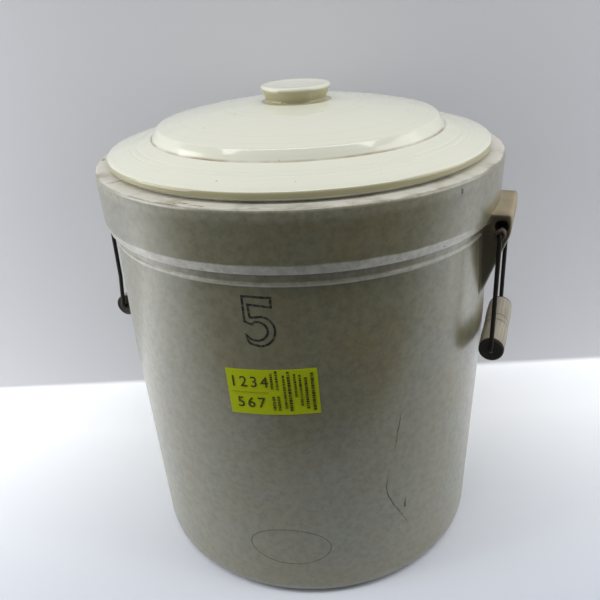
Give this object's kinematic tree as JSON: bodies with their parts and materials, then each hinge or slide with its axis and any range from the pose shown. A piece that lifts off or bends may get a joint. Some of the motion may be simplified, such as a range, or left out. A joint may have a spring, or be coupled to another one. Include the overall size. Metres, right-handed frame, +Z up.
{
  "type": "stoneware crock with lid",
  "caption": "Lidded stoneware crock: tapered round body under a thick collar, stepped domed lid with a button knob, and swinging wire bails with wooden grips.",
  "frame": {"origin": "centre of the base, on the ground", "axes": "+Z up through the middle of the lid's knob; +X and -X through the two ears that carry the bails; -Y is the front"},
  "size_m": [0.3644, 0.3368, 0.4072],
  "materials": {
    "stoneware": "grey-beige gloss glaze, with bare cream clay on the rim and the ears",
    "lid_glaze": "pale cream gloss glaze over throwing lines",
    "bail_wire": "drawn steel wire, darkened and rusted",
    "grip_wood": "turned wood, weathered grey",
    "cap_metal": "pressed sheet steel, rusted brown"
  },
  "bodies": {
    "crock": {"crock": "stoneware"},
    "lid": {"lid": "lid_glaze"},
    "bail_right": {"bail_right": "bail_wire"},
    "grip_right": {"grip_right": "grip_wood", "cap_right_front": "cap_metal", "cap_right_back": "cap_metal"},
    "bail_left": {"bail_left": "bail_wire"},
    "grip_left": {"grip_left": "grip_wood", "cap_left_front": "cap_metal", "cap_left_back": "cap_metal"}
  },
  "joints": [
    {"name": "lid_lift", "type": "slide", "parent": "crock", "child": "lid", "axis": [0, 0, 1], "range_m": [0, 0.12]},
    {"name": "bail_right_swing", "type": "hinge", "parent": "crock", "child": "bail_right", "pos_m": [0.1718, 0, 0.30365], "axis": [0, -1, 0], "range_deg": [0, 185]},
    {"name": "grip_right_spin", "type": "hinge", "parent": "bail_right", "child": "grip_right", "pos_m": [0.1718, 0, 0.20565], "axis": [0, 1, 0], "continuous": true},
    {"name": "bail_left_swing", "type": "hinge", "parent": "crock", "child": "bail_left", "pos_m": [-0.1718, 0, 0.30365], "axis": [0, 1, 0], "range_deg": [0, 185]},
    {"name": "grip_left_spin", "type": "hinge", "parent": "bail_left", "child": "grip_left", "pos_m": [-0.1718, 0, 0.20565], "axis": [0, 1, 0], "continuous": true}
  ]
}
